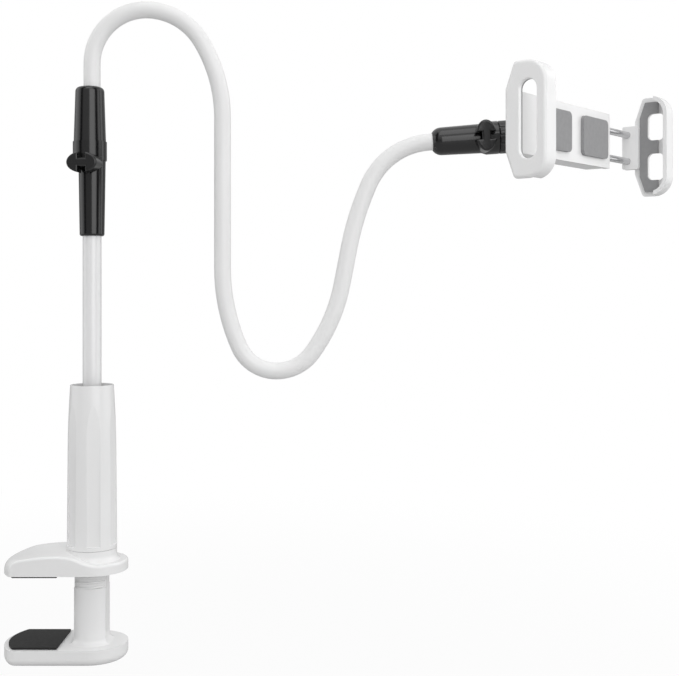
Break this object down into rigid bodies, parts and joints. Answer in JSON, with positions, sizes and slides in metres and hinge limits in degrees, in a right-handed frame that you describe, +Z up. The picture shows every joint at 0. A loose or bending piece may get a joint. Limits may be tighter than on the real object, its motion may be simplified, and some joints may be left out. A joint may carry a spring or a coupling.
{
  "type": "gooseneck phone holder",
  "caption": "Phone holder with a sprung jaw head on a bendable gooseneck arm, carried by an upright tube in a screw clamp for a table edge.",
  "frame": {"origin": "where the clamp's upright axis meets the table top, level with the upper pad's underside", "axes": "+Z up along the pillar, -X over the table, +X the way the gooseneck reaches, -Y to the viewer"},
  "size_m": [0.3877, 0.1392, 0.3708],
  "materials": {
    "white_plastic": "satin",
    "black_plastic": "gloss",
    "white_paint": "gloss",
    "white_rubber": "satin",
    "core_metal": "plain",
    "black_rubber": "matte",
    "grey_rubber": "matte",
    "steel": "bright"
  },
  "bodies": {
    "clamp_top": {"upper_jaw": "white_plastic", "upper_jaw_pad": "black_rubber", "thrust_washer": "steel"},
    "clamp_bottom": {"lower_jaw": "white_plastic", "lower_jaw_pad": "black_rubber"},
    "pillar": {"pillar_grip": "white_plastic", "tube_bush": "black_plastic"},
    "arm": {"upright_tube": "white_paint", "tube_socket": "black_plastic", "lower_end_sleeve": "black_plastic", "lower_cable_clip": "black_plastic", "gooseneck_cover": "white_rubber", "gooseneck_core": "core_metal", "upper_end_sleeve": "black_plastic", "upper_cable_clip": "black_plastic"},
    "cup": {"ball_cup": "black_plastic"},
    "nut": {"lock_nut": "black_plastic"},
    "ball": {"ball_stud": "black_plastic", "stud_nut": "steel"},
    "head": {"fixed_jaw": "white_plastic", "fixed_jaw_pad": "grey_rubber", "rear_housing": "white_plastic", "housing_screws": "steel", "back_pads": "grey_rubber", "jaw_springs": "steel"},
    "slide": {"moving_jaw": "white_plastic", "moving_jaw_pad": "grey_rubber", "guide_rods": "steel", "slide_yoke": "black_plastic"}
  },
  "joints": [
    {"name": "clamp_travel", "type": "slide", "parent": "clamp_top", "child": "clamp_bottom", "axis": [0, 0, 1], "range_m": [-0.0196, 0.0252]},
    {"name": "clamp_turn", "type": "hinge", "parent": "clamp_top", "child": "pillar", "pos_m": [0, 0, 0], "axis": [0, 0, 1], "range_deg": [-3250, 2530]},
    {"name": "arm_swivel", "type": "hinge", "parent": "clamp_top", "child": "arm", "pos_m": [0, 0, 0.0822], "axis": [0, 0, 1], "continuous": true},
    {"name": "neck_turn", "type": "hinge", "parent": "arm", "child": "cup", "pos_m": [0.239, 0, 0.24587], "axis": [0.9976, 0, 0.0698], "continuous": true},
    {"name": "nut_turn", "type": "hinge", "parent": "cup", "child": "nut", "pos_m": [0.239, 0, 0.24587], "axis": [0.9976, 0, 0.0698], "range_deg": [-90, 180]},
    {"name": "ball_tilt", "type": "hinge", "parent": "cup", "child": "ball", "pos_m": [0.239, 0, 0.24587], "axis": [0.0695, 0.0864, -0.9938], "range_deg": [-79, 1]},
    {"name": "head_spin", "type": "hinge", "parent": "ball", "child": "head", "pos_m": [0.239, 0, 0.24587], "axis": [0.7793, -0.6266, 0], "continuous": true},
    {"name": "jaw_slide", "type": "slide", "parent": "head", "child": "slide", "axis": [0.6266, 0.7793, 0], "range_m": [-0.036, 0.018], "deforming": ["jaw_springs"]}
  ],
  "couplings": [
    {"joint": "clamp_turn", "follows": "clamp_travel", "rad_per_m": -2244}
  ]
}
